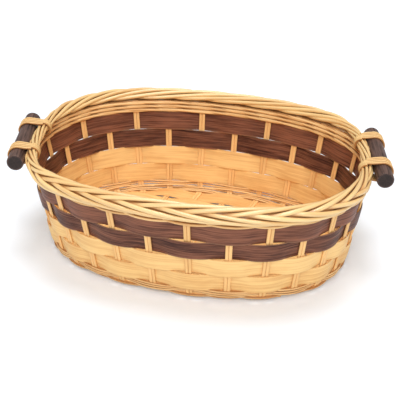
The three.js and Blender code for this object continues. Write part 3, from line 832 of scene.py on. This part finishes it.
def loop_outline(other, dowel_loop, other_loop):
    """Belt round two circles, arcs joined by straight runs, and the share of the way at each point."""
    tilt = math.atan2(other[1], other[0])
    splay = math.acos((dowel_loop - other_loop) / np.hypot(*other))
    a = np.linspace(tilt - splay, tilt + splay, LOOP_ARC)
    b = np.linspace(tilt + splay, tilt + TURN - splay, LOOP_ARC)
    far = other + other_loop * circle(a)
    ring = np.concatenate([far, dowel_loop * circle(b), far[:1]])
    walk = walked(ring)
    return ring, walk / walk[-1]


def binding_line(offset, t):
    """Middle of a binding on the right dowel after t turns.

    Each turn follows the belt round dowel and border. It moves on along the dowel by the pitch, times
    a gather that is 1 over the dowel and falls by a smooth step towards the border.
    """
    s = sizes()
    middle, normal, axis = dowel_place()
    line = border_line(np.linspace(-np.pi / 2, np.pi / 2, LINE_STEPS))
    other = line[np.argmin(np.abs((line - middle) @ axis - offset))] - middle
    dowel_loop = s.dowel_radius + DOWEL_ROOM + s.binding_thickness / 2
    across = np.array([other @ normal, other[2]])
    ring, walk = loop_outline(across, dowel_loop, s.binding_reach)
    x, z = (np.interp(t % 1.0, walk, ring[:, k]) for k in range(2))
    share = (x - ring[:, 0].min()) / np.ptp(ring[:, 0])
    gather = s.binding_gather + (1 - s.binding_gather) * smooth(2 * share)
    shift = offset + s.binding_pitch * (t - BINDING_TURNS / 2) * gather
    return middle + normal * x[:, None] + UP * z[:, None] + axis * shift[:, None]


class BASKET_OT_bindings(bpy.types.Operator):
    """Makes the cane bindings that tie the dowels to the border"""

    bl_idname = "basket.bindings"
    bl_label = "Bindings"

    def execute(self, context):
        s = sizes()
        axis = dowel_place()[2]
        t = np.arange(BINDING_TURNS * LOOP_STEPS + 1) / LOOP_STEPS
        tone = MIDDLE_TONE + TURN_TONE_SPREAD * np.sin(TURN_TONE_PACE * np.round(t))
        size = s.binding_width, s.binding_thickness
        profile = flat_profile(*size, ROUND_SIDES, power=BINDING_POWER)
        for side, sign in SIDES:
            for place, way in (("front", -1), ("back", 1)):
                path = half_turned(binding_line(way * sign * s.binding_offset, t), sign)
                across, out = tube_sides(path, False, everywhere(axis, path))
                # Edges at the cane's sides, towards the next turns, carry painted shade
                item = strand(path, out, across, profile, False, tone, True)
                name = f"handle_binding_{side}_{place}"
                build(f"cane_{name}", [item], "binding_cane", name)
        return {"FINISHED"}


BASE_STEPS = 161
BASE_SIDES = 18
BASE_END = 4 * MM
BASE_OVERRUN = 12 * MM
# Part of the way between two stakes where a strip keeps level, and the part where it rises or falls
HOLD_START, HOLD_SPAN = 0.12, 0.76
EDGE_STEPS = 2001
BASE_TONE, BASE_TONE_PACE = 0.6, 2.9


def base_strip(i):
    """One strip of the base along X, over and under the cross stakes by turns.

    Its level goes from one stake's to the next by a smooth step. Its sides are straight, but the outer
    one follows the oval where that lies nearer.
    """
    s = sizes()
    ox, oy = oval(np.linspace(0, np.pi / 2, EDGE_STEPS), s.squareness)
    edge_x = (s.wall_half_length - s.base_margin) * ox
    edge_y = (s.wall_half_width - s.base_margin) * oy
    y = (i - (BASE_STRIPS - 1) / 2) * s.base_strip_pitch
    inner, outer = abs(y) - s.base_strip_width / 2, abs(y) + s.base_strip_width / 2
    if i in (0, BASE_STRIPS - 1):
        outer += s.base_outer_extra
    stakes = np.arange(FIRST_CROSS + CROSS_STAKES - 1, FIRST_CROSS - 1, -1)
    lines = [base_line(u)[:2] for u in stakes]
    marks = [a[0] + (b[0] - a[0]) * (y - a[1]) / (b[1] - a[1]) for a, b in lines]
    marks = np.array([marks[0] - BASE_OVERRUN] + marks + [marks[-1] + BASE_OVERRUN])
    levels = np.concatenate([[-1], np.where((stakes + i) % 2 == 0, 1, -1), [-1]])
    end = np.interp(inner + BASE_END, edge_y, edge_x)
    x = np.linspace(-end, end, BASE_STEPS)
    k = np.clip(np.searchsorted(marks, x) - 1, 0, len(marks) - 2)
    share = np.clip((x - marks[k]) / (marks[k + 1] - marks[k]), 0, 1)
    level = levels[k] + (levels[k + 1] - levels[k]) * smooth((share - HOLD_START) / HOLD_SPAN)
    rim = np.minimum(outer, np.interp(-np.abs(x), -edge_x, edge_y))
    centre = math.copysign(1, y) * (inner + rim) / 2
    path = np.stack([x, centre, s.base_level + s.base_strip_swing * level], -1)
    widths = np.stack([rim - inner, 1 + 0 * rim], -1)[:, None]
    profile = flat_profile(1.0, s.strip_thickness, BASE_SIDES)[None] * widths
    across = everywhere(np.array([0.0, 1.0, 0.0]), path)
    tone = tone_of(i, BASE_TONE_PACE) + BASE_TONE
    return strand(path, across, everywhere(UP, path), profile, False, tone, True)


class BASKET_OT_base_strips(bpy.types.Operator):
    """Makes the flat strips of the base, woven over and under the cross stakes"""

    bl_idname = "basket.base_strips"
    bl_label = "Base strips"

    def execute(self, context):
        for i in range(BASE_STRIPS):
            build(f"base_weave_{i + 1}", [base_strip(i)], "natural_strip", f"base_strip_{i + 1}")
        return {"FINISHED"}


PLAIN = dict(
    fibres=700, run=26, streak=0.35, patches=0.7, own=0.5, edges=0.35, edge_start=0.86,
    rough=0.5, rough_change=0.2, bump=0.3, relief=0.2, specular=0.35,
)
FINISHES = {
    "natural_strip": dict(
        PLAIN, pale="honey", deep="honey_deep", rim="honey_deep", run=22, streak=0.5,
        patches=1.0, own=0.25, rough_change=0.25, bump=0.35, relief=0.25, specular=0.3,
    ),
    "dark_strip": dict(
        PLAIN, pale="dark", deep="dark_deep", rim="bare", fibres=1300, run=30, streak=0.85,
        patches=0.8, own=0.4, edges=0.4, rough=0.45, rough_change=0.3, bump=0.4, relief=0.25,
        specular=0.22,
    ),
    # Stake canes darken to their grain colour at the sides: painted shade, also along the line where two
    # canes meet
    "stake_cane": dict(
        PLAIN, pale="stake", deep="stake_deep", rim="stake_deep", fibres=900, run=24,
        own=0.3, edges=0.25, specular=0.3,
    ),
    # Round rods darken to the shade colour at their upper and lower sides: painted shade between stacked
    # rods
    "round_rod": dict(
        PLAIN, pale="round", deep="round_deep", rim="gap", streak=0.45, patches=1.3,
        edges=1.0, edge_start=0.4, rough=0.48,
    ),
    # Border rods darken to the shade colour deep in the plait: painted shade between the rods
    "border_rod": dict(
        PLAIN, pale="rod", deep="rod_deep", rim="gap", fibres=600, patches=1.0, own=0.45,
        edges=0.9, edge_start=0.05, rough=0.3, rough_change=0.1, bump=0.12, relief=0.15, specular=1.0,
    ),
    # Binding turns darken to the shade colour at their sides: painted shade between turns
    "binding_cane": dict(
        PLAIN, pale="rod", deep="rod_deep", rim="gap", fibres=900, edges=0.95,
        edge_start=0.35, rough=0.45,
    ),
    "dark_dowel": dict(
        PLAIN, pale="wood", deep="wood_deep", rim="wood_end", fibres=620, run=30, streak=0.95,
        patches=0.9, own=0.7, edges=0.85, edge_start=0.0, rough_change=0.3, bump=0.6, relief=0.4,
    ),
}
FLOAT_INPUTS = (
    "Fibres", "Run", "Streak", "Patches", "Own", "Edges", "Edge Start", "Rough", "Rough Change"
)
COLOUR_INPUTS = ("Pale", "Deep", "Rim")

# Noise of the grain: fine and broad fibres along a strand, and patches
NOISE_ROUGHNESS, NOISE_MIDDLE = 0.6, 0.5
FINE_DETAIL, BROAD_DETAIL = 4.0, 2.0
BROAD_RUN, BROAD_FIBRES, BROAD_PLACE = 0.5, 0.35, 11.0
PATCH_RUN, PATCH_FIBRES, PATCH_PLACE = 22.0, 60.0, 23.0
FINE_SHARE, BROAD_SHARE = 0.7, 0.3
STREAK_LOW, STREAK_HIGH = 0.40, 0.60
TONE_STEPS, TONE_SPACING = 9.0, 3.7


def fill(tree, node, values):
    """Gives a node's inputs their values: a socket is linked, all else is set."""
    for key, value in values.items():
        if isinstance(value, bpy.types.NodeSocket):
            tree.links.new(value, node.inputs[key])
        else:
            node.inputs[key].default_value = value


def add_node(tree, kind, values, output=0, **settings):
    """One output of a new node that has its settings and values."""
    node = tree.nodes.new(f"ShaderNode{kind}")
    for key, value in settings.items():
        setattr(node, key, value)
    fill(tree, node, values)
    return node.outputs[output]


def grain_and_shade_group():
    """Grain along a strand, with painted shade at its edges for some finishes: colour, roughness and
    height from fibres, patches, tone and edges.

    Its noises read the surface distances, stretched by the run along the strand and the fibres across
    it, and the tone moves them apart from strand to strand.
    """
    name = "strand_grain_and_shade"
    if name in bpy.data.node_groups:
        return bpy.data.node_groups[name]
    group = bpy.data.node_groups.new(name, "ShaderNodeTree")
    sockets = (
        ("INPUT", "Vector", ["Lay"]),
        ("INPUT", "Float", ["Tone", "Edge", *FLOAT_INPUTS]),
        ("INPUT", "Color", COLOUR_INPUTS),
        ("OUTPUT", "Color", ["Colour"]),
        ("OUTPUT", "Float", ["Roughness", "Height"]),
    )
    for way, kind, keys in sockets:
        for key in keys:
            group.interface.new_socket(key, in_out=way, socket_type=f"NodeSocket{kind}")
    given = group.nodes.new("NodeGroupInput").outputs
    result = group.nodes.new("NodeGroupOutput")

    def calc(kind, a, b):
        """One step of arithmetic on numbers or sockets."""
        return add_node(group, "Math", {0: a, 1: b}, operation=kind)

    def times(a, b):
        """Product of two numbers or sockets."""
        return calc("MULTIPLY", a, b)

    def noise(along, across, detail, offset):
        """Noise stretched along the strand."""
        place = {"X": times(parts["X"], along), "Y": times(parts["Y"], across)}
        place["Z"] = calc("ADD", shift, offset)
        values = {"Scale": 1.0, "Detail": detail, "Roughness": NOISE_ROUGHNESS}
        values["Vector"] = add_node(group, "CombineXYZ", place)
        return add_node(group, "TexNoise", values, "Fac")

    def ramp(value, low, high):
        """A value spread from 0 at low to 1 at high."""
        values = {"Value": value, "From Min": low, "From Max": high}
        return add_node(group, "MapRange", values, "Result")

    def blend(share, a, b):
        """Mix of two colours."""
        values = {"Factor": share, "A": a, "B": b}
        return add_node(group, "Mix", values, "Result", data_type="RGBA")

    parts = add_node(group, "SeparateXYZ", {0: given["Lay"]}).node.outputs
    shift = times(calc("ROUND", times(given["Tone"], TONE_STEPS), 0.0), TONE_SPACING)
    fine = noise(given["Run"], given["Fibres"], FINE_DETAIL, 0.0)
    run, fibres = times(given["Run"], BROAD_RUN), times(given["Fibres"], BROAD_FIBRES)
    broad = noise(run, fibres, BROAD_DETAIL, BROAD_PLACE)
    patch = noise(PATCH_RUN, PATCH_FIBRES, BROAD_DETAIL, PATCH_PLACE)
    streaks = calc("ADD", times(fine, FINE_SHARE), times(broad, BROAD_SHARE))
    grain = times(ramp(streaks, STREAK_LOW, STREAK_HIGH), given["Streak"])
    cloud = times(calc("SUBTRACT", patch, NOISE_MIDDLE), given["Patches"])
    own = times(calc("SUBTRACT", given["Tone"], MIDDLE_TONE), given["Own"])
    total = calc("ADD", calc("ADD", grain, cloud), own)
    total.node.use_clamp = True
    # Rim share from the edge mask. For rods, canes and binding turns the rim colour is painted shade
    # between neighbours; on dyed strips and dowels it is bare wood and end grain
    rim = times(ramp(given["Edge"], given["Edge Start"], 1.0), given["Edges"])
    change = times(calc("SUBTRACT", fine, NOISE_MIDDLE), given["Rough Change"])
    results = {
        "Colour": blend(rim, blend(total, given["Pale"], given["Deep"]), given["Rim"]),
        "Roughness": calc("ADD", given["Rough"], change),
        "Height": calc("SUBTRACT", 1.0, streaks),
    }
    fill(group, result, results)
    return group


def finish_material(slot):
    """Principled material of a slot, made once; its name differs from the CAD's own material."""
    name = f"dressed_{slot}"
    if name in bpy.data.materials:
        return bpy.data.materials[name]
    finish = FINISHES[slot]
    colours = bpy.context.scene.basket_colours
    material = bpy.data.materials.new(name)
    material.use_nodes = True
    tree = material.node_tree
    values = {key: finish[key.lower().replace(" ", "_")] for key in FLOAT_INPUTS}
    for key in COLOUR_INPUTS:
        values[key] = (*getattr(colours, finish[key.lower()]), 1)
    values["Lay"] = add_node(tree, "UVMap", {}, "UV", uv_map="lay")
    for key in ("tone", "edge"):
        values[key.capitalize()] = add_node(tree, "Attribute", {}, "Fac", attribute_name=key)
    grain = add_node(tree, "Group", {}, 0, node_tree=grain_and_shade_group()).node
    fill(tree, grain, values)
    bump = {"Strength": finish["bump"], "Distance": finish["relief"] * MM}
    bump["Height"] = grain.outputs["Height"]
    look = {
        "Base Color": grain.outputs["Colour"],
        "Roughness": grain.outputs["Roughness"],
        "Normal": add_node(tree, "Bump", bump, "Normal"),
        "Specular IOR Level": finish["specular"],
    }
    fill(tree, tree.nodes["Principled BSDF"], look)
    return material


FLOOR_REACH = 4.0
FLOOR_ROUGHNESS, FLOOR_SPECULAR = 0.9, 0.1
FLOOR_GLOW = 0.11
WORLD_STRENGTH = 0.38
WORLD_SEEN = 1.0
LAMPS = (
    ("overhead", (0.02, 0.06, 1.0), 1.38, 25),
    ("front", (0.27, -0.96, 0.85), 1.65, 45),
)
CAMERA_TURN = 0.277
CAMERA_DIP = 0.492
CAMERA_ROLL = 0.010
CAMERA_SHIFT = -2.4 * MM, 48.9 * MM, 1199.143 * MM
CAMERA_FOCAL = 990.35
PHOTO_WIDTH = 400
SENSOR_WIDTH = 36
CLIP_START = 0.01


def glow(tree, given, seen):
    """Strength of a glow: what it gives to the scene, or what the camera sees of it."""
    camera = add_node(tree, "LightPath", {}, "Is Camera Ray")
    return add_node(tree, "Math", {0: camera, 1: seen - given, 2: given}, operation="MULTIPLY_ADD")


def floor_material():
    """Pale matt floor that glows a little to the camera, and so stays white with its shadows."""
    material = bpy.data.materials.new("pale_floor")
    material.use_nodes = True
    tree = material.node_tree
    look = {
        "Base Color": (*bpy.context.scene.basket_colours.floor, 1),
        "Roughness": FLOOR_ROUGHNESS,
        "Specular IOR Level": FLOOR_SPECULAR,
        "Emission Color": WHITE,
        "Emission Strength": glow(tree, 0.0, FLOOR_GLOW),
    }
    fill(tree, tree.nodes["Principled BSDF"], look)
    return material


def camera_matrix():
    """Camera turned about Z, dipped and rolled, with the origin right of, below and ahead of it."""
    right, below, ahead = CAMERA_SHIFT
    turned = Matrix.Rotation(CAMERA_TURN, 4, "Z") @ Matrix.Rotation(math.pi / 2 - CAMERA_DIP, 4, "X")
    rolled = turned @ Matrix.Rotation(CAMERA_ROLL, 4, "Z")
    return rolled @ Matrix.Translation((-right, below, ahead))


class BASKET_OT_stage(bpy.types.Operator):
    """Makes the floor, the lights and the camera"""

    bl_idname = "basket.stage"
    bl_label = "Stage"

    def execute(self, context):
        scene = context.scene
        scene.view_settings.view_transform = "Standard"
        far = FLOOR_REACH
        mesh = bpy.data.meshes.new("floor")
        corners = [(-far, -far, 0), (far, -far, 0), (far, far, 0), (-far, far, 0)]
        mesh.from_pydata(corners, [], [(0, 1, 2, 3)])
        mesh.materials.append(floor_material())
        floor = add_object("floor", mesh)
        world = bpy.data.worlds.new("studio")
        world.use_nodes = True
        tree = world.node_tree
        look = {"Color": WHITE, "Strength": glow(tree, WORLD_STRENGTH, WORLD_SEEN)}
        fill(tree, tree.nodes["Background"], look)
        scene.world = world
        for name, source, strength, spread in LAMPS:
            light = bpy.data.lights.new(name, "SUN")
            light.energy = strength
            light.angle = math.radians(spread)
            lamp = add_object(name, light)
            lamp.location = source
            lamp.rotation_euler = (-Vector(source)).to_track_quat("-Z", "Y").to_euler()
        data = bpy.data.cameras.new("photo_camera")
        data.sensor_width = SENSOR_WIDTH
        data.lens = CAMERA_FOCAL * SENSOR_WIDTH / PHOTO_WIDTH
        data.clip_start = CLIP_START
        scene.camera = add_object("photo_camera", data)
        scene.camera.matrix_world = camera_matrix()
        return {"FINISHED"}


class BASKET_PT_panel(bpy.types.Panel):
    """Panel with the basket's pieces"""

    bl_label = "Basket"
    bl_idname = "BASKET_PT_panel"
    bl_space_type = "VIEW_3D"
    bl_region_type = "UI"
    bl_category = "Basket"

    def draw(self, context):
        for operator in OPERATORS:
            self.layout.operator(operator.bl_idname)


OPERATORS = (
    BASKET_OT_stage,
    BASKET_OT_stakes,
    BASKET_OT_wall_strips,
    BASKET_OT_twisted_rods,
    BASKET_OT_base_strips,
    BASKET_OT_border,
    BASKET_OT_handles,
    BASKET_OT_bindings,
)
CLASSES = (BasketSizes, BasketColours, *OPERATORS, BASKET_PT_panel)


def register():
    for item in CLASSES:
        bpy.utils.register_class(item)
    bpy.types.Scene.basket_sizes = bpy.props.PointerProperty(type=BasketSizes)
    bpy.types.Scene.basket_colours = bpy.props.PointerProperty(type=BasketColours)


def unregister():
    del bpy.types.Scene.basket_sizes
    del bpy.types.Scene.basket_colours
    for item in reversed(CLASSES):
        bpy.utils.unregister_class(item)


def main():
    """Makes the stage and all pieces."""
    register()
    bpy.ops.basket.stage()
    bpy.ops.basket.stakes()
    bpy.ops.basket.wall_strips()
    bpy.ops.basket.twisted_rods()
    bpy.ops.basket.base_strips()
    bpy.ops.basket.border()
    bpy.ops.basket.handles()
    bpy.ops.basket.bindings()


if __name__ == "__main__":
    main()
